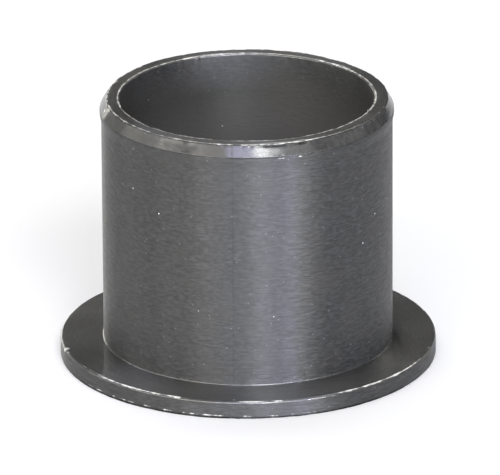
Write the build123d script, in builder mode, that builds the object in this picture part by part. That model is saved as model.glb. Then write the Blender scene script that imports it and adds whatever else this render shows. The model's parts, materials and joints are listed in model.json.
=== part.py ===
from build123d import *
import os
from math import radians, tan

# Flanged bushing: a plain bearing moulded in one piece, a thin sleeve with a thin round
# flange at one end. It stands on the outer face of its flange. The origin is the centre
# of that face and +Z runs along the bore towards the end that goes into the housing.
# All lengths are in millimetres.

# The bore takes a 20 mm shaft. Before the bushing is pressed in, the bore is wider than the
# shaft by this radial clearance, which the press fit then takes up in part.
shaft_diameter = 20.0
shaft_clearance = 0.08

# The wall of the sleeve, its whole length with the flange, and the flange
wall = 1.47
length = 21.5
flange_thickness = 1.45
flange_width = 3.45

# A steep chamfer outside the sleeve's free end guides it into the housing. The angle is
# measured from the wall.
lead_in_height = 0.68
lead_in_angle = 30.0

# The two mouths of the bore: a chamfer in the flange's face, where the shaft goes in, and
# a broken edge at the sleeve's free end
mouth_chamfer = 0.40
end_break = 0.11

# The flange's outer edges are rounded, and so is the corner between flange and sleeve
flange_top_round = 0.20
flange_bottom_round = 0.10
root_fillet = 0.10

# Worked out from the sizes above
bore_radius = shaft_diameter / 2 + shaft_clearance
sleeve_radius = bore_radius + wall
flange_radius = sleeve_radius + flange_width
lead_in_width = lead_in_height * tan(radians(lead_in_angle))

with BuildPart() as flanged_bushing:
    # Half of the section through the axis, turned once round it
    with BuildSketch(Plane.XZ):
        with BuildLine():
            Polyline(
                (bore_radius, 0),
                (flange_radius, 0),
                (flange_radius, flange_thickness),
                (sleeve_radius, flange_thickness),
                (sleeve_radius, length - lead_in_height),
                (sleeve_radius - lead_in_width, length),
                (bore_radius, length),
                close=True,
            )
        make_face()
    revolve(axis=Axis.Z)

    # The round edges level by level, each level sorted from the bore outwards
    levels = flanged_bushing.edges().filter_by(GeomType.CIRCLE).group_by(Axis.Z)
    face_edges = levels[0].sort_by(SortBy.RADIUS)
    shoulder_edges = levels[1].sort_by(SortBy.RADIUS)
    end_edges = levels[-1].sort_by(SortBy.RADIUS)

    chamfer(face_edges[0], mouth_chamfer)
    chamfer(end_edges[0], end_break)
    fillet(face_edges[-1], flange_bottom_round)
    fillet(shoulder_edges[-1], flange_top_round)
    fillet(shoulder_edges[0], root_fillet)

flanged_bushing.part.label = "flanged_bushing"
os.makedirs("parts", exist_ok=True)
export_step(flanged_bushing.part, "parts/flanged_bushing.step")
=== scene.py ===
# %% [markdown]
# # A flanged bushing in dark grey bearing plastic
# The real object is one injection moulding: a thin sleeve that is pressed into a hole, and a flange
# that stops it at the right depth. The CAD part already has its true sizes. This script gives it the
# soft edges, the raised lip, the fine marks and the plastic finish that the eye looks for, and then
# lights it.

import json
import math
from collections import namedtuple

import bpy
import numpy as np
from mathutils import Matrix, Vector

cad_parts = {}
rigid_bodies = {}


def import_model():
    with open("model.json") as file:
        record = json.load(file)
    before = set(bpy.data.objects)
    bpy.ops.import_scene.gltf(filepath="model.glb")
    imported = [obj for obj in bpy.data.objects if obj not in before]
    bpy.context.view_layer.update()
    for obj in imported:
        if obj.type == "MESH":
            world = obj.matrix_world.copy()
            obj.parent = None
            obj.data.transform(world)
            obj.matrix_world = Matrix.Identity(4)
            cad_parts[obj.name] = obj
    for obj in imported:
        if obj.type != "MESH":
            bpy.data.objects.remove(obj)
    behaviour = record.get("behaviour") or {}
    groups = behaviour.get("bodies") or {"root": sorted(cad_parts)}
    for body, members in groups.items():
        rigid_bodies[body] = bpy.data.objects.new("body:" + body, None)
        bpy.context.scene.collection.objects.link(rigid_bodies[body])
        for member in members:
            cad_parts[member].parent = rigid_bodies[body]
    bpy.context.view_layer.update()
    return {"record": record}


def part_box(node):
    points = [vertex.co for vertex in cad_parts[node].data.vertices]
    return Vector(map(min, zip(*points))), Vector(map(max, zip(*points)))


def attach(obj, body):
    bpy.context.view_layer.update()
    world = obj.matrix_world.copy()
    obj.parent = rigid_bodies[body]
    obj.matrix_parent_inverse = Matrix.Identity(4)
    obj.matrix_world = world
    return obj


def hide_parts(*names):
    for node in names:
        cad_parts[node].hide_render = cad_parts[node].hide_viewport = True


MM = 0.001


def in_mm(lengths):
    """Lengths in metres as rounded numbers of millimetres, for printing."""
    return [round(float(length) / MM, 3) for length in lengths]


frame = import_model()

# %% [markdown]
# ## The sizes that everything hangs on
# A bushing is described by its bore, its outside, its flange and its length. They could be typed in
# again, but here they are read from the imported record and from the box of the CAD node, so that the
# dressed part can't drift from the solid one.

# %% Driving sizes
mounts = {mount["name"]: mount for mount in frame["record"]["mounts"]}
bore_r = mounts["bore"]["dims"]["r_mm"] * MM
wall_r = mounts["sleeve_outside"]["dims"]["r_mm"] * MM
flange_t = mounts["flange_shoulder"]["pos_m"][2]
_, node_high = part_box("flanged_bushing")
flange_r = node_high[0]
height = node_high[2]
mid_wall_r = (bore_r + wall_r) / 2
print("bore, wall and flange radius, flange thickness and length in mm:",
      in_mm((bore_r, wall_r, flange_r, flange_t, height)))

# %% [markdown]
# ## The camera
# The photograph was taken with a long lens from a little above. A long lens shows almost no
# perspective, so its distance hardly matters, but its height angle decides how round the flange
# looks. The aim point sits a few pixels off the middle of the picture. A lens shift could do that,
# but moving the camera sideways does it too and leaves the other views centred.

# %% Camera
PHOTO_WIDTH = 500
SENSOR_WIDTH = 36.0
CAMERA_REACH = 20
focal_px = 8765.5
camera_distance = 697.8 * MM
camera_height_angle = math.radians(20.828)
camera_roll = math.radians(-0.336)
aim_point = Vector((0, 0, 10 * MM))
aim_right_px = -2.44
aim_down_px = -5.30

back = Vector((0, -math.cos(camera_height_angle), math.sin(camera_height_angle)))
level_right = Vector((1, 0, 0))
level_up = back.cross(level_right)
right = level_right * math.cos(camera_roll) + level_up * math.sin(camera_roll)
up = level_up * math.cos(camera_roll) - level_right * math.sin(camera_roll)
metres_per_px = camera_distance / focal_px
camera_place = aim_point + back * camera_distance
camera_place += (up * aim_down_px - right * aim_right_px) * metres_per_px

camera = bpy.data.objects.new("camera", bpy.data.cameras.new("camera"))
turned = Matrix((right, up, back)).transposed().to_4x4()
camera.matrix_world = Matrix.Translation(camera_place) @ turned
camera.data.sensor_width = SENSOR_WIDTH
camera.data.lens = SENSOR_WIDTH * focal_px / PHOTO_WIDTH
camera.data.clip_end = CAMERA_REACH
bpy.context.scene.collection.objects.link(camera)
bpy.context.scene.camera = camera
bpy.context.scene.view_settings.view_transform = "Standard"
print("lens in mm:", round(camera.data.lens, 1),
      " pixels per mm:", round(MM / metres_per_px, 2))

# %% [markdown]
# ## One half of the section
# Anything turned or moulded round an axis is fully described by half of its section. Here the half
# section is a closed line through eight corners. No moulded corner is sharp, so each is replaced by a
# small round, and these rounds are what catches the light in a photograph. A Bevel modifier could
# round them all alike, but each of these edges has its own size.

# %% Rounds and runs
def corner_round(before, corner, after, radius, count):
    """The arc that replaces a corner. It touches both sides at radius * tan(turn / 2) from the
    corner, and its points are the first touching point turned by equal steps about the arc's
    centre."""
    way_in = (corner - before) / np.linalg.norm(corner - before)
    way_out = (after - corner) / np.linalg.norm(after - corner)
    turn = np.arctan2(way_in[0] * way_out[1] - way_in[1] * way_out[0], way_in @ way_out)
    start = corner - way_in * radius * np.tan(abs(turn) / 2)
    centre = start + np.sign(turn) * radius * np.array([-way_in[1], way_in[0]])
    steps = np.linspace(0, turn, count)
    spoke = start - centre
    return centre + np.stack([spoke[0] * np.cos(steps) - spoke[1] * np.sin(steps),
                              spoke[0] * np.sin(steps) + spoke[1] * np.cos(steps)], axis=1)


def straight_run(start, end, count):
    """Points between two rounds, closer together near both ends: their share of the way is
    (1 - cos(step)) / 2 for equal steps of half a turn."""
    share = (1 - np.cos(np.linspace(0, np.pi, count + 2)[1:-1])) / 2
    return start + (end - start) * share[:, None]


# %% The corners
mouth_chamfer = 0.40 * MM
lead_in_top_r = wall_r - 0.393 * MM
lead_in_start = height - 0.88 * MM
lip_start = height - 2.00 * MM

# Each corner: its radius and height, the size of its round, how many points are in the round and in
# the straight run after it, and how far its edge wanders, as a standard deviation. The sixth isn't a
# corner: it only divides the wall, so that the lip gets most of the wall's points.
Corner = namedtuple("Corner", "radius level round_r round_points run_points wander")
corners = (
    Corner(bore_r, mouth_chamfer, 0.05 * MM, 4, 3, 0.006 * MM),
    Corner(bore_r + mouth_chamfer, 0.0, 0.05 * MM, 4, 8, 0.006 * MM),
    Corner(flange_r, 0.0, 0.12 * MM, 8, 8, 0.010 * MM),
    Corner(flange_r, flange_t, 0.20 * MM, 10, 12, 0.012 * MM),
    Corner(wall_r, flange_t, 0.10 * MM, 7, 9, 0.008 * MM),
    Corner(wall_r, lip_start, 0.0, 1, 26, 0.0),
    Corner(wall_r, lead_in_start, 0.22 * MM, 6, 8, 0.005 * MM),
    Corner(lead_in_top_r, height, 0.14 * MM, 7, 8, 0.022 * MM),
    Corner(bore_r, height, 0.14 * MM, 8, 12, 0.030 * MM),
)
print("corners:", sum(corner.round_r > 0 for corner in corners))

# %% The line through them
EDGE_REACH = 0.1 * MM
NO_CORNER = -1


def half_section(corners):
    """The closed half section as points (radius, height), and for each corner a weight that is one
    on its round and exp(-(distance / edge reach)^2) away from it."""
    places = np.array([(corner.radius, corner.level) for corner in corners])
    rounds = [corner_round(before, place, after, corner.round_r, corner.round_points)
              for before, place, after, corner
              in zip(np.roll(places, 1, axis=0), places, np.roll(places, -1, axis=0), corners)]
    parts = []
    owners = []
    for k, corner in enumerate(corners):
        run = straight_run(rounds[k][-1], rounds[(k + 1) % len(rounds)][0], corner.run_points)
        parts += [rounds[k], run]
        owners += [np.full(len(rounds[k]), k), np.full(len(run), NO_CORNER)]
    line = np.concatenate(parts)
    owner = np.concatenate(owners)
    away = np.linalg.norm(line[:, None] - line[None], axis=2)
    nearest = np.stack([away[:, owner == k].min(axis=1) for k in range(len(corners))])
    return line, np.exp(-(nearest / EDGE_REACH) ** 2)


plain_section, edge_weight = half_section(corners)
print("points in the half section:", len(plain_section))

# %% [markdown]
# ## The soft lip under the lead-in
# Just below the slanted lead-in the wall swells by about a tenth of a millimetre, and a few fine
# rings are left where the slope was cut. More corners would give the swelling a visible start, so it
# is a smooth step added to the radius of the outer wall, and the rings are a wave that dies away
# downwards.

# %% Raise the lip
lip_rise = 0.12 * MM
lip_full = height - 1.05 * MM
lip_ring_height = 0.006 * MM
lip_ring_pitch = 0.21 * MM
lip_ring_reach = 0.28 * MM


def smooth_step(value, low, high):
    """Zero below low, one above high, and 3t^2 - 2t^3 between, where t is the share of the way."""
    share = np.clip((value - low) / (high - low), 0, 1)
    return share * share * (3 - 2 * share)


def with_lip(section):
    """The section with its outer wall moved out by rise * smooth step, which goes back to nothing up
    the lead-in, less ring height * sin(turns below the lead-in) * exp(-depth / reach)."""
    radius, level = section.T
    swell = smooth_step(level, lip_start, lip_full)
    swell = swell * (1 - np.clip((level - lead_in_start) / (height - lead_in_start), 0, 1))
    below = np.maximum(lead_in_start - level, 0)
    rings = np.sin(2 * np.pi * below / lip_ring_pitch) * np.exp(-below / lip_ring_reach)
    rise = lip_rise * swell - lip_ring_height * rings * (level > lip_start)
    return np.stack([radius + rise * (radius > mid_wall_r), level], axis=1)


section = with_lip(plain_section)
print("radius of the lip in mm:", in_mm([section[section[:, 1] > lip_start, 0].max()]))

# %% [markdown]
# ## Carry the section round the axis
# The surface is a function of two parameters, the angle round the axis and the place along the half
# section. A Screw modifier could turn it, but a perfect turning looks computed: on the real part
# every edge wanders by some hundredths of a millimetre, where the mould was worn and where the part
# was handled. So each edge gets its own slow and fast waves before the points are made.

# %% Angles and edge waves
AROUND = 670
FIRST_SEED = 10
angle = np.arange(AROUND) * 2 * np.pi / AROUND


def edge_wander(seed, slowest, fastest, count=48):
    """Whole numbers of sine waves round the axis, spread evenly between the slowest and the fastest
    count on a logarithmic scale, each with a random phase and a height that falls with the fourth
    root of its count, scaled to a standard deviation of one."""
    random = np.random.default_rng(seed)
    counts = np.round(np.geomspace(slowest, fastest, count))
    phases = random.uniform(0, 2 * np.pi, count)
    waves = np.sin(np.outer(counts, angle) + phases[:, None]) * counts[:, None] ** -0.25
    waved = waves.sum(axis=0)
    return waved / waved.std()


wander = np.stack([corner.wander * edge_wander(FIRST_SEED + k, slowest=2, fastest=140)
                   for k, corner in enumerate(corners)])
print("most that each edge wanders in mm:", in_mm(np.abs(wander).max(axis=1)))


# %% Sweep
def sweep(section, edge_weight):
    """Points (angle, place): the section, moved along its own outward normal by the sum over the
    corners of weight * wander, then turned to (radius * cos(angle), radius * sin(angle), height).
    Nothing leaves the box of the CAD part."""
    along = np.roll(section, -1, axis=0) - np.roll(section, 1, axis=0)
    along /= np.linalg.norm(along, axis=1)[:, None]
    outward = np.stack([along[:, 1], -along[:, 0]], axis=1)
    moved = wander.T @ edge_weight
    radius = np.minimum(section[None, :, 0] + moved * outward[None, :, 0], flange_r)
    level = np.clip(section[None, :, 1] + moved * outward[None, :, 1], 0, height)
    return np.stack([radius * np.cos(angle)[:, None], radius * np.sin(angle)[:, None], level],
                    axis=2)


def ring_mesh(name, grid):
    """A closed ring from a grid of points that joins up both ways. Each face goes first along the
    angle and then along the section, which makes it look outwards."""
    around, along = grid.shape[:2]
    index = np.arange(around * along).reshape(around, along)
    ahead = np.roll(index, -1, axis=0)
    quads = np.stack([index, ahead, np.roll(ahead, -1, axis=1), np.roll(index, -1, axis=1)], axis=2)
    mesh = bpy.data.meshes.new(name)
    mesh.vertices.add(around * along)
    mesh.vertices.foreach_set("co", grid.reshape(-1).astype(np.float32))
    mesh.loops.add(quads.size)
    mesh.loops.foreach_set("vertex_index", quads.reshape(-1).astype(np.int32))
    mesh.polygons.add(around * along)
    mesh.polygons.foreach_set("loop_start", np.arange(0, quads.size, 4, dtype=np.int32))
    mesh.update(calc_edges=True)
    mesh.validate()
    mesh.polygons.foreach_set("use_smooth", np.ones(around * along, dtype=bool))
    return mesh


body_mesh = ring_mesh("bushing_body", sweep(section, edge_weight))
bushing = bpy.data.objects.new("bushing_body", body_mesh)
bpy.context.scene.collection.objects.link(bushing)
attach(bushing, "root")
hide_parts("flanged_bushing")
print("triangles:", 2 * len(bushing.data.polygons))

# %% [markdown]
# ## Which finish goes where
# The mould was turned, so the wall, the bore and the rim keep its fine rings. The faces that look up
# or down are smoother, and the lead-in is the most polished. The faces could be picked by hand, but
# the section already says which way each one looks, so each gets the number of its finish from that.

# %% Finish of each face
FLAT, RINGED, LEAD_IN, BORE = range(4)
UPRIGHT_SLOPE = 0.3

ahead = np.roll(section, -1, axis=0)
middle = (section + ahead) / 2
upright = np.abs(ahead[:, 0] - section[:, 0]) < UPRIGHT_SLOPE * np.abs(ahead[:, 1] - section[:, 1])
slanted = (middle[:, 1] > lead_in_start) & (middle[:, 0] > lead_in_top_r)
inside = middle[:, 0] < mid_wall_r
finish = np.select([slanted, upright & inside, upright], [LEAD_IN, BORE, RINGED], FLAT)
bushing.data.polygons.foreach_set("material_index", np.tile(finish, AROUND).astype(np.int32))
print("faces of each finish:", np.bincount(finish) * AROUND)

# %% [markdown]
# ## Painted highlight and shade lines
# The thin pale lines along the edges are highlights painted into the colour. The black line along the
# bottom edge, where the part meets the table, and the one at the foot of the lead-in are painted
# shade. A painted picture could say where, but the part would have to be unwrapped for it. Here each
# point of the mesh gets a share of painted highlight and of painted shade from its distance to a few
# lines, more on the stretches where they show most. The plastic reads both later.

# %% Painted highlight and shade of each point
FRONT = -90
STRETCH_FADE = 4
QUIET_SHARE = 0.35
ALL_ROUND = ((-180, 180),)

# Each line: its radius and height, how strong it is, how far it reaches, and the stretches of it
# that are marked most, in degrees from the front to the right. The rest of it gets the quiet share.
# The front is the side of -Y, 90 degrees before +X.
Line = namedtuple("Line", "radius level strength reach stretches")
# Painted highlights: pale lines along the edges, where the rounds catch glints.
painted_highlight_lines = (
    Line(bore_r + 0.16 * MM, height, 0.80, 0.09 * MM, ALL_ROUND),
    Line(lead_in_top_r - 0.08 * MM, height, 0.62, 0.12 * MM, ((-130, 40), (120, 175))),
    Line(flange_r - 0.13 * MM, flange_t - 0.02 * MM, 0.66, 0.12 * MM,
         ((-50, -23), (-2, 11), (31, 62), (110, 150))),
    Line(flange_r, 0.25 * MM, 0.50, 0.06 * MM, ((-60, 20), (100, 170))),
    Line(wall_r + lip_rise, lead_in_start - 0.17 * MM, 0.45, 0.05 * MM, ((0, 24), (95, 140))),
)
# Painted shade: a black line along the bottom edge, where the part meets the table, and a fainter one
# at the foot of the lead-in.
painted_shade_lines = (
    Line(flange_r - 0.02 * MM, 0.02 * MM, 1.5, 0.11 * MM, ALL_ROUND),
    Line(wall_r + lip_rise, lead_in_start - 0.06 * MM, 0.45, 0.045 * MM, ((-6, 12), (150, 176))),
)


def line_marks(lines):
    """For each angle and point of the section, the sum over the lines of strength * share of the
    stretch * exp(-(distance / reach)^2), but never more than one."""
    from_front = (np.degrees(angle) - FRONT + 180) % 360 - 180
    total = 0
    for line in lines:
        away = np.hypot(section[:, 0] - line.radius, section[:, 1] - line.level)
        within = sum(smooth_step(from_front, low - STRETCH_FADE, low)
                     - smooth_step(from_front, high, high + STRETCH_FADE)
                     for low, high in line.stretches)
        share = QUIET_SHARE + (1 - QUIET_SHARE) * within
        if line.stretches is ALL_ROUND:
            share = np.ones(AROUND)
        total = total + line.strength * np.outer(share, np.exp(-(away / line.reach) ** 2))
    return np.minimum(total, 1)


for name, lines in (("painted_highlight", painted_highlight_lines), ("painted_shade", painted_shade_lines)):
    marks = line_marks(lines)
    attribute = bushing.data.attributes.new(name, "FLOAT", "POINT")
    attribute.data.foreach_set("value", marks.reshape(-1).astype(np.float32))
    print("mean", name, "share of a point:", round(float(marks.mean()), 4))

# %% [markdown]
# ## Writing shaders as sums
# A procedural material is arithmetic on coordinates. Its nodes could be added one by one, but the
# small class below lets that arithmetic be written as Python: adding or multiplying two wires adds
# the Math node that does it.

# %% Wires and nodes
class Wire:
    """An output socket of a shader tree, with + - * / and powers that add Math nodes."""

    def __init__(self, shader, socket):
        self.shader = shader
        self.socket = socket

    def _math(self, operation, first, second):
        return self.shader.node("ShaderNodeMath", {"operation": operation}, {0: first, 1: second})

    def __add__(self, other):
        return self._math("ADD", self, other)

    def __sub__(self, other):
        return self._math("SUBTRACT", self, other)

    def __mul__(self, other):
        return self._math("MULTIPLY", self, other)

    def __truediv__(self, other):
        return self._math("DIVIDE", self, other)

    def __rsub__(self, other):
        return self._math("SUBTRACT", other, self)

    def __rtruediv__(self, other):
        return self._math("DIVIDE", other, self)

    def __pow__(self, other):
        return self._math("POWER", self, other)

    __radd__ = __add__
    __rmul__ = __mul__

    def step(self, low, high):
        """A smooth step from zero at low to one at high."""
        return self.shader.node("ShaderNodeMapRange", {"interpolation_type": "SMOOTHSTEP"},
                                {"Value": self, "From Min": low, "From Max": high})


class Shader:
    """A material's node tree, cleared, with one method that adds any node."""

    def __init__(self, name):
        self.material = bpy.data.materials.new(name)
        self.material.use_nodes = True
        self.tree = self.material.node_tree
        self.tree.nodes.clear()

    def node(self, kind, settings=None, inputs=None, output=0):
        """Adds a node, makes its settings, then sets or links its inputs, and returns one of its
        outputs, or the list of them all when output is None."""
        new = self.tree.nodes.new(kind)
        for key, value in (settings or {}).items():
            setattr(new, key, value)
        for key, value in (inputs or {}).items():
            if isinstance(value, Wire):
                self.tree.links.new(value.socket, new.inputs[key])
            else:
                new.inputs[key].default_value = value
        if output is None:
            return [Wire(self, socket) for socket in new.outputs]
        return Wire(self, new.outputs[output])

    def surface(self, wire):
        """Sends a shader to the material's surface."""
        self.node("ShaderNodeOutputMaterial", {}, {"Surface": wire}, output=None)


# %% [markdown]
# ## Noise that follows the turning
# The marks of a turned mould are short dashes round the axis. Plain noise has round cells, so the
# coordinates are changed first: the direction from the axis is stretched one way, and the way down
# the wall or out on the flange the other way. Four such noises give the grain, the flecks, the
# blotches, and the breakup of the painted highlight and shade lines and of the chip glints.

# %% Coordinates and noise
NOISE_ROUGHNESS = 0.55

# Each noise: how wide its cells are round the axis, how long along the section, and its detail.
GRAIN = (0.95 * MM, 0.20 * MM, 1.5)
FLECKS = (0.45 * MM, 0.18 * MM, 1.0)
BLOTCHES = (3.0 * MM, 2.2 * MM, 2.0)
LINE_BREAKUP = (0.55 * MM, 0.55 * MM, 2.0)


def coordinates(shader):
    """Object coordinates x, y and z, and the distance from the axis, the root of x * x + y * y."""
    place = shader.node("ShaderNodeTexCoord", output="Object")
    x, y, z = shader.node("ShaderNodeSeparateXYZ", {}, {0: place}, output=None)
    return x, y, z, (x * x + y * y) ** 0.5


def noise(shader, place, across, along, detail):
    """Noise from zero to one. One length is the width of its cells round the axis, measured on the
    wall, and the other their length on the way down a wall or out on a flange, both in metres."""
    x, y, z, radius = place
    vector = shader.node("ShaderNodeCombineXYZ", {}, {
        0: x / radius * (wall_r / across),
        1: y / radius * (wall_r / across),
        2: (radius + z) * (1 / along)})
    return shader.node("ShaderNodeTexNoise", {}, {
        "Vector": vector, "Scale": 1.0, "Detail": detail, "Roughness": NOISE_ROUGHNESS})


# %% Colour mixing
# The sockets of a Mix node that are used when it mixes colours.
MIX_SHARE, MIX_FIRST, MIX_SECOND, MIX_RESULT = 0, 6, 7, 2


def mix(shader, share, first, second):
    """The first colour where the share is zero and the second where it is one."""
    return shader.node("ShaderNodeMix", {"data_type": "RGBA"}, {
        MIX_SHARE: share, MIX_FIRST: first, MIX_SECOND: second}, output=MIX_RESULT)


# %% [markdown]
# ## Specks, chip glints and the parting line
# Up close the plastic has pale dots in it and dust on it. Both are the middles of some cells of a
# Voronoi texture: scattered objects would need thousands of faces. The few chips on the edges are
# painted pale as the glints they throw, and placed one by one, because the eye knows where they are.
# Where the two halves of the mould met, a thin line runs up the wall on both sides.

# %% Specks
# Each kind of speck: the size of a cell, how far out a speck is full and where it is gone, both as
# shares of that size, and the share of the cells that have one.
DOTS = (0.45 * MM, 0.06, 0.15, 0.35)
DUST = (1.0 * MM, 0.03, 0.075, 0.10)
CHOICE_FADE = 0.02


def specks(shader, place, cell_size, full, gone, share):
    """One in small round specks: the middles of those cells of a Voronoi texture whose random red
    value is under the share."""
    x, y, z, radius = place
    vector = shader.node("ShaderNodeCombineXYZ", {}, {0: x, 1: y, 2: z})
    away, random_colour = shader.node("ShaderNodeTexVoronoi", {}, {
        "Vector": vector, "Scale": 1 / cell_size}, output=None)[:2]
    red = shader.node("ShaderNodeSeparateColor", {}, {0: random_colour})
    return (1 - away.step(full, gone)) * (1 - red.step(share, share + CHOICE_FADE))


# %% Chip glints
# Each chip, painted pale as the glint it throws: its angle from the front in degrees, its place in
# the section, and its own radius.
chip_glints = (
    (-80, wall_r - 0.17 * MM, height - 0.45 * MM, 0.17 * MM),
    (-76, wall_r - 0.15 * MM, height - 0.60 * MM, 0.12 * MM),
    (135, bore_r + 0.17 * MM, height, 0.16 * MM),
    (-4.5, flange_r - 0.45 * MM, flange_t, 0.10 * MM),
    (-77, flange_r - 0.15 * MM, flange_t - 0.07 * MM, 0.32 * MM),
    (-74, flange_r - 0.15 * MM, flange_t - 0.09 * MM, 0.13 * MM),
    (76, flange_r - 0.20 * MM, flange_t, 0.09 * MM),
    (81, flange_r - 0.15 * MM, flange_t, 0.07 * MM),
)
print("chips:", len(chip_glints))


def chip_glint_mask(shader, place):
    """The painted glints of the chips: one within half a chip's radius of its middle, fading to zero
    at its radius, the largest over the chips."""
    here = shader.node("ShaderNodeCombineXYZ", {}, {k: place[k] for k in range(3)})
    mask = 0.0
    for degrees, radius, level, size in chip_glints:
        turn = math.radians(degrees)
        spot = (radius * math.sin(turn), -radius * math.cos(turn), level)
        away = shader.node("ShaderNodeVectorMath", {"operation": "DISTANCE"}, {0: here, 1: spot},
                           output="Value")
        mask = shader.node("ShaderNodeMath", {"operation": "MAXIMUM"}, {
            0: mask, 1: 1 - away.step(size / 2, size)})
    return mask


# %% Parting line
PARTING_ANGLE = math.radians(-5.9)
PARTING_WIDTH = (0.02 * MM, 0.14 * MM)
PARTING_STARTS = (wall_r - 0.65 * MM, wall_r - 0.35 * MM)
PARTING_ENDS = (wall_r + 0.45 * MM, wall_r + 0.65 * MM)


def parting_line(place):
    """One near the upright plane through the axis at the parting angle, where the radius is that of
    the wall. The distance from the plane is x * cos(angle) + y * sin(angle)."""
    x, y, z, radius = place
    side = x * math.cos(PARTING_ANGLE) + y * math.sin(PARTING_ANGLE)
    on_wall = radius.step(*PARTING_STARTS) * (1 - radius.step(*PARTING_ENDS))
    return (1 - ((side * side) ** 0.5).step(*PARTING_WIDTH)) * on_wall


# %% [markdown]
# ## The plastic
# Bearing plastic is nearly black, and its fillers give it a grey, almost metallic sheen. A metal
# shader would be too bright face on, so this is a plain plastic with a higher index of refraction.
# The fine rings from the mould spread a reflection up and down but not sideways, which is what
# anisotropy does. The flat faces have a thin glossy skin over the same rings. The bore is duller, and
# it shows lighter further down because of how the light falls in it. That light is painted in as a
# second, lighter colour towards the bottom. All four finishes come from one function, so that they
# stay the same plastic.

# %% Colours
BASE = (0.013, 0.0135, 0.0135, 1)
FLAT_BASE = (0.016, 0.016, 0.016, 1)
WARM = (0.020, 0.0195, 0.018, 1)
FLECK = (0.030, 0.0305, 0.031, 1)
DOT = (0.12, 0.12, 0.125, 1)
# Painted light: the lighter colour of the bore towards the bottom.
BORE_PAINTED_LIGHT = (0.150, 0.146, 0.141, 1)
# Painted highlight: the pale colour of the edge lines and of the chip glints.
HIGHLIGHT_PALE = (0.66, 0.65, 0.60, 1)
# Painted shade: black for the lines along the bottom edge and at the foot of the lead-in.
SHADE_BLACK = (0.0, 0.0, 0.0, 1)
DUST_GREY = (0.70, 0.71, 0.73, 1)
WARM_EDGE = (0.35, 0.7)
FLECK_EDGE = (0.30, 0.75)
CHIP_GLINT_EDGE = (0.22, 0.36)
# How far down from the free end the bore's painted light takes over.
BORE_LIGHT_DEPTH = 9 * MM


def pigment(shader, place, blotch, base, bore_light):
    """The base colour with warm blotches, lighter flecks and dots. A lighter colour that paints in
    the bore's light, if there is one, takes over smoothly on the way down from the free end."""
    level = place[2]
    colour = mix(shader, blotch.step(*WARM_EDGE), base, WARM)
    colour = mix(shader, noise(shader, place, *FLECKS).step(*FLECK_EDGE), colour, FLECK)
    colour = mix(shader, specks(shader, place, *DOTS), colour, DOT)
    # Painted light: the bore lighter towards the bottom.
    if bore_light:
        colour = mix(shader, 1 - level.step(height - BORE_LIGHT_DEPTH, height), colour, bore_light)
    return colour


def marked(shader, place, colour, line_breakup, painted_highlight, painted_shade):
    """The colour under its marks: painted highlights and chip glints, then painted shade, then
    dust on top.
    """
    # Painted highlight lines and chip glints in pale, painted shade in black, real dust on top.
    colour = mix(shader, painted_highlight, colour, HIGHLIGHT_PALE)
    colour = mix(shader, chip_glint_mask(shader, place) * line_breakup.step(*CHIP_GLINT_EDGE), colour, HIGHLIGHT_PALE)
    colour = mix(shader, painted_shade, colour, SHADE_BLACK)
    return mix(shader, specks(shader, place, *DUST), colour, DUST_GREY)


# %% Painted highlights and shade, broken up
NOISE_MIDDLE = 0.5
HIGHLIGHT_BREAK = 1.3
HIGHLIGHT_FROM = 0.42
HIGHLIGHT_FADE = 0.35
SHADE_GAPS = (0.45, 0.75)
SHADE_GAP_SHARE = 0.6


def painted_highlight_share(shader, line_breakup):
    """The painted highlight of each point plus or minus the breakup noise, cut off where it is
    faint.
    """
    painted_highlight = shader.node("ShaderNodeAttribute", {"attribute_name": "painted_highlight"}, output="Fac")
    return (painted_highlight + (line_breakup - NOISE_MIDDLE) * HIGHLIGHT_BREAK - HIGHLIGHT_FROM).step(0.0, HIGHLIGHT_FADE)


def painted_shade_share(shader, line_breakup):
    """The painted shade of each point, thinner where the breakup noise is high."""
    painted_shade = shader.node("ShaderNodeAttribute", {"attribute_name": "painted_shade"}, output="Fac")
    return painted_shade * (1 - line_breakup.step(*SHADE_GAPS) * SHADE_GAP_SHARE)


# %% The finish of one zone
LINE_DEPTH = 0.12
LINE_ROUGHNESS = 0.08
HIGHLIGHT_LINE_DEPTH = 0.2
QUARTER_TURN = 0.25
SKIN_IOR = 2.0
SKIN_ROUGHNESS = 0.07


def plastic(name, base, ior, roughness, anisotropy, grain_height, grain_share, mottle,
            skin=0.0, bore_light=None):
    """The bearing plastic with the finish of one zone: its colour and gloss, how far its rings
    stretch a reflection, how high its grain is, how far the grain and the mottling change its
    roughness, how much glossy skin it has, and the painted light that makes a bore lighter towards
    the bottom."""
    shader = Shader(name)
    place = coordinates(shader)
    grain = noise(shader, place, *GRAIN)
    blotch = noise(shader, place, *BLOTCHES)
    line_breakup = noise(shader, place, *LINE_BREAKUP)
    line = parting_line(place)
    painted_highlight = painted_highlight_share(shader, line_breakup)
    painted_shade = painted_shade_share(shader, line_breakup)
    colour = pigment(shader, place, blotch, base, bore_light)
    rough = roughness + (grain - NOISE_MIDDLE) * grain_share + (blotch - NOISE_MIDDLE) * mottle
    # The painted highlight lines also sink a little in the relief.
    relief = shader.node("ShaderNodeBump", {}, {
        "Strength": 1.0,
        "Distance": grain_height,
        "Height": grain - line * LINE_DEPTH - painted_highlight * HIGHLIGHT_LINE_DEPTH,
    })
    shader.surface(shader.node("ShaderNodeBsdfPrincipled", {}, {
        "Base Color": marked(shader, place, colour, line_breakup, painted_highlight, painted_shade),
        "Roughness": rough + line * LINE_ROUGHNESS,
        # The painted shade is black metal without skin, so that it shows black.
        "Metallic": painted_shade,
        "IOR": ior,
        "Anisotropic": anisotropy,
        "Anisotropic Rotation": QUARTER_TURN,
        "Coat Weight": (1 - painted_shade) * skin if skin else 0.0,
        "Coat IOR": SKIN_IOR,
        "Coat Roughness": SKIN_ROUGHNESS,
        "Normal": relief,
    }))
    return shader.material


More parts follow.
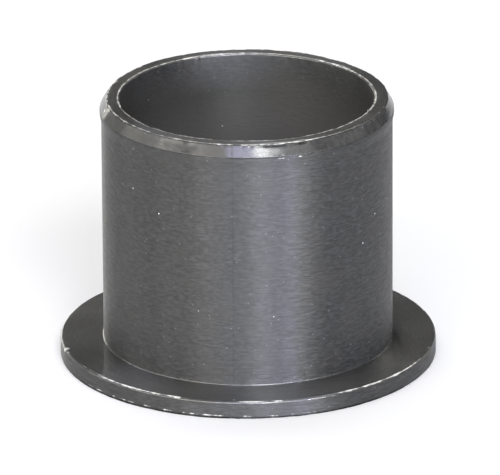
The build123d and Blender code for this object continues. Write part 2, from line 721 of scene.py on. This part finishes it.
# %% The four finishes
# They stand in the order of the numbers that the faces got.
finishes = (
    plastic("bearing_plastic_flat", FLAT_BASE, ior=1.9, roughness=0.45, anisotropy=0.98,
            grain_height=0.03 * MM, grain_share=0.15, mottle=0.30, skin=0.9),
    plastic("bearing_plastic_ringed", BASE, ior=1.66, roughness=0.45, anisotropy=1.0,
            grain_height=0.05 * MM, grain_share=0.24, mottle=0.07),
    plastic("bearing_plastic_lead_in", BASE, ior=1.9, roughness=0.22, anisotropy=0.80,
            grain_height=0.01 * MM, grain_share=0.08, mottle=0.07),
    plastic("bearing_plastic_bore", BASE, ior=1.60, roughness=0.56, anisotropy=0.80,
            grain_height=0.03 * MM, grain_share=0.25, mottle=0.12, bore_light=BORE_PAINTED_LIGHT),
)
for material in finishes:
    bushing.data.materials.append(material)
    print(material.name, "has", len(material.node_tree.nodes), "nodes")

# %% [markdown]
# ## The table
# The object stands on a plain white table. The lamps alone would leave its far side grey, so it also
# glows a little, for the camera and for reflections, but throws none of that light on the part. It
# lies a hair lower than the part's own face, because two faces in one plane flicker.

# %% Table
TABLE_SIDE = 3.0
TABLE_GAP = 0.01 * MM
TABLE_WHITE = (0.8, 0.8, 0.8, 1)
TABLE_GLOW = 0.24

half_side = TABLE_SIDE / 2
table_corners = [(x * half_side, y * half_side, -TABLE_GAP)
                 for x, y in ((-1, -1), (1, -1), (1, 1), (-1, 1))]
table_mesh = bpy.data.meshes.new("table")
table_mesh.from_pydata(table_corners, [], [(0, 1, 2, 3)])
table = bpy.data.objects.new("table", table_mesh)
bpy.context.scene.collection.objects.link(table)

white = Shader("white_table")
matt = white.node("ShaderNodeBsdfDiffuse", {}, {"Color": TABLE_WHITE})
glow = white.node("ShaderNodeEmission", {}, {"Color": (1, 1, 1, 1), "Strength": TABLE_GLOW})
both = white.node("ShaderNodeAddShader", {}, {0: matt, 1: glow})
to_camera = white.node("ShaderNodeLightPath", output="Is Camera Ray")
to_gloss = white.node("ShaderNodeLightPath", output="Is Glossy Ray")
sees = white.node("ShaderNodeMath", {"operation": "MAXIMUM"}, {0: to_camera, 1: to_gloss})
white.surface(white.node("ShaderNodeMixShader", {}, {"Fac": sees, 1: matt, 2: both}))
table_mesh.materials.append(white.material)
print("table side in m:", TABLE_SIDE)

# %% [markdown]
# ## Soft studio light
# A glossy dark part is drawn by what it reflects, so its lamps are placed by its highlights. One big
# lamp would give one flat sheen. The key lamps, high in front, make the near-white glint on the
# lead-in. The light band down the sleeve comes from the low bluish lamps on the front right. The
# other low and middle ones fill the rest of the wall, and those behind light the bore, the edges and
# the table.

# %% Soft boxes
LAMP_DISTANCE = 1.3


def soft_box(name, azimuths, elevations, brightness, colour):
    """A rectangular lamp that covers a range of azimuths, counted from straight in front to the
    right, and of elevations, all in degrees. Brightness is how bright the box itself looks, where 1
    is white: for a flat lamp in Blender that is its power divided by four times its area."""
    azimuth = math.radians(sum(azimuths) / 2)
    elevation = math.radians(sum(elevations) / 2)
    half_wide = math.radians(azimuths[1] - azimuths[0]) / 2
    half_tall = math.radians(elevations[1] - elevations[0]) / 2
    toward = Vector((math.sin(azimuth) * math.cos(elevation),
                     -math.cos(azimuth) * math.cos(elevation),
                     math.sin(elevation)))
    lamp = bpy.data.lights.new(name, "AREA")
    lamp.shape = "RECTANGLE"
    lamp.size = 2 * LAMP_DISTANCE * math.tan(half_wide) * math.cos(elevation)
    lamp.size_y = 2 * LAMP_DISTANCE * math.tan(half_tall)
    lamp.energy = brightness * 4 * lamp.size * lamp.size_y
    lamp.color = colour
    holder = bpy.data.objects.new(name, lamp)
    holder.matrix_world = (Matrix.Translation(aim_point + toward * LAMP_DISTANCE)
                           @ toward.to_track_quat("Z", "Y").to_matrix().to_4x4())
    holder.visible_camera = False
    bpy.context.scene.collection.objects.link(holder)


# %% The lamps
WHITE = (1.00, 1.00, 1.00)
COOL = (0.92, 0.96, 1.00)
BLUE = (0.78, 0.80, 1.00)
VIOLET = (0.75, 0.73, 1.00)
CREAM = (1.00, 0.98, 0.90)
AMBER = (1.00, 0.87, 0.74)
GREEN = (0.88, 1.00, 0.91)
LOW = (0, 10)
MIDDLE = (10, 22)
HIGH = (34, 46)

soft_box("key", (7, 20), HIGH, 13.4, WHITE)
soft_box("key_right", (20, 29), HIGH, 5.5, WHITE)
soft_box("key_left", (-1, 7), HIGH, 6.1, BLUE)
soft_box("key_edge", (-18, -1), HIGH, 5.9, VIOLET)
soft_box("key_wing", (-45, -18), HIGH, 1.9, CREAM)
soft_box("right_high", (29, 60), HIGH, 1.4, CREAM)
soft_box("far_right", (60, 105), (12, 34), 0.5, CREAM)
soft_box("side_right", (105, 150), (8, 30), 0.2, CREAM)
soft_box("low_middle", (7, 24), LOW, 18, VIOLET)
soft_box("low_right", (27, 37), LOW, 39, BLUE)
soft_box("low_far_right", (37, 48), LOW, 17.5, WHITE)
soft_box("low_wing_right", (46, 60), LOW, 4.2, WHITE)
soft_box("low_left", (-38, 7), LOW, 9.9, COOL)
soft_box("middle", (15, 28), MIDDLE, 4.7, GREEN)
soft_box("middle_front", (0, 15), MIDDLE, 9.6, COOL)
soft_box("middle_left", (-15, 0), MIDDLE, 1.8, GREEN)
soft_box("far_middle_left", (-45, -15), MIDDLE, 3.3, AMBER)
soft_box("left", (-75, -38), (0, 34), 1.9, CREAM)
soft_box("far_left", (-112, -75), (0, 34), 1.0, CREAM)
soft_box("back_top", (130, 230), (58, 76), 2.5, WHITE)
soft_box("back_left_high", (200, 240), (42, 58), 1.8, BLUE)
soft_box("back", (150, 195), (30, 42), 2.1, CREAM)
soft_box("side_left", (218, 250), (4, 22), 0.5, CREAM)
soft_box("back_strip", (188, 208), (12, 28), 0.3, COOL)
soft_box("back_low", (188, 218), LOW, 2.7, CREAM)
print("soft boxes:", sum(thing.type == "LIGHT" for thing in bpy.context.scene.objects))

# %% The dark room round them
ROOM = (0.02, 0.02, 0.02, 1)
world = bpy.data.worlds.new("studio")
world.use_nodes = True
world.node_tree.nodes["Background"].inputs["Color"].default_value = ROOM
bpy.context.scene.world = world
print("world:", world.name)
